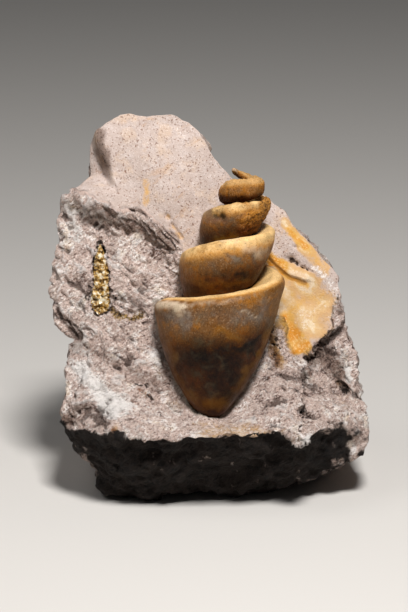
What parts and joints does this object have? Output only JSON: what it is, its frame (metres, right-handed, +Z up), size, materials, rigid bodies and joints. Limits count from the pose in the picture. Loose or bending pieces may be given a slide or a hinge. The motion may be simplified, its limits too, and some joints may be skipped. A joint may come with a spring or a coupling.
{
  "type": "fossil turritella snail",
  "caption": "Fossil turret snail: the spiral cast of the shell's inside stands proud of its upright block of limestone matrix, beside a small hollow lined with crystals.",
  "frame": {"origin": "middle of the bounding box in plan, on the flat underside of the block", "axes": "+Z up, -Y out of the broken face that carries the snail, +X to the right seen from that side"},
  "size_m": [0.1036, 0.079, 0.1187],
  "materials": {
    "limestone": "matte",
    "iron_stained_cast": "satin",
    "calcite": "gloss"
  },
  "bodies": {
    "root": {"limestone_matrix": "limestone", "snail_cast": "iron_stained_cast", "calcite_crust": "calcite"}
  },
  "joints": []
}
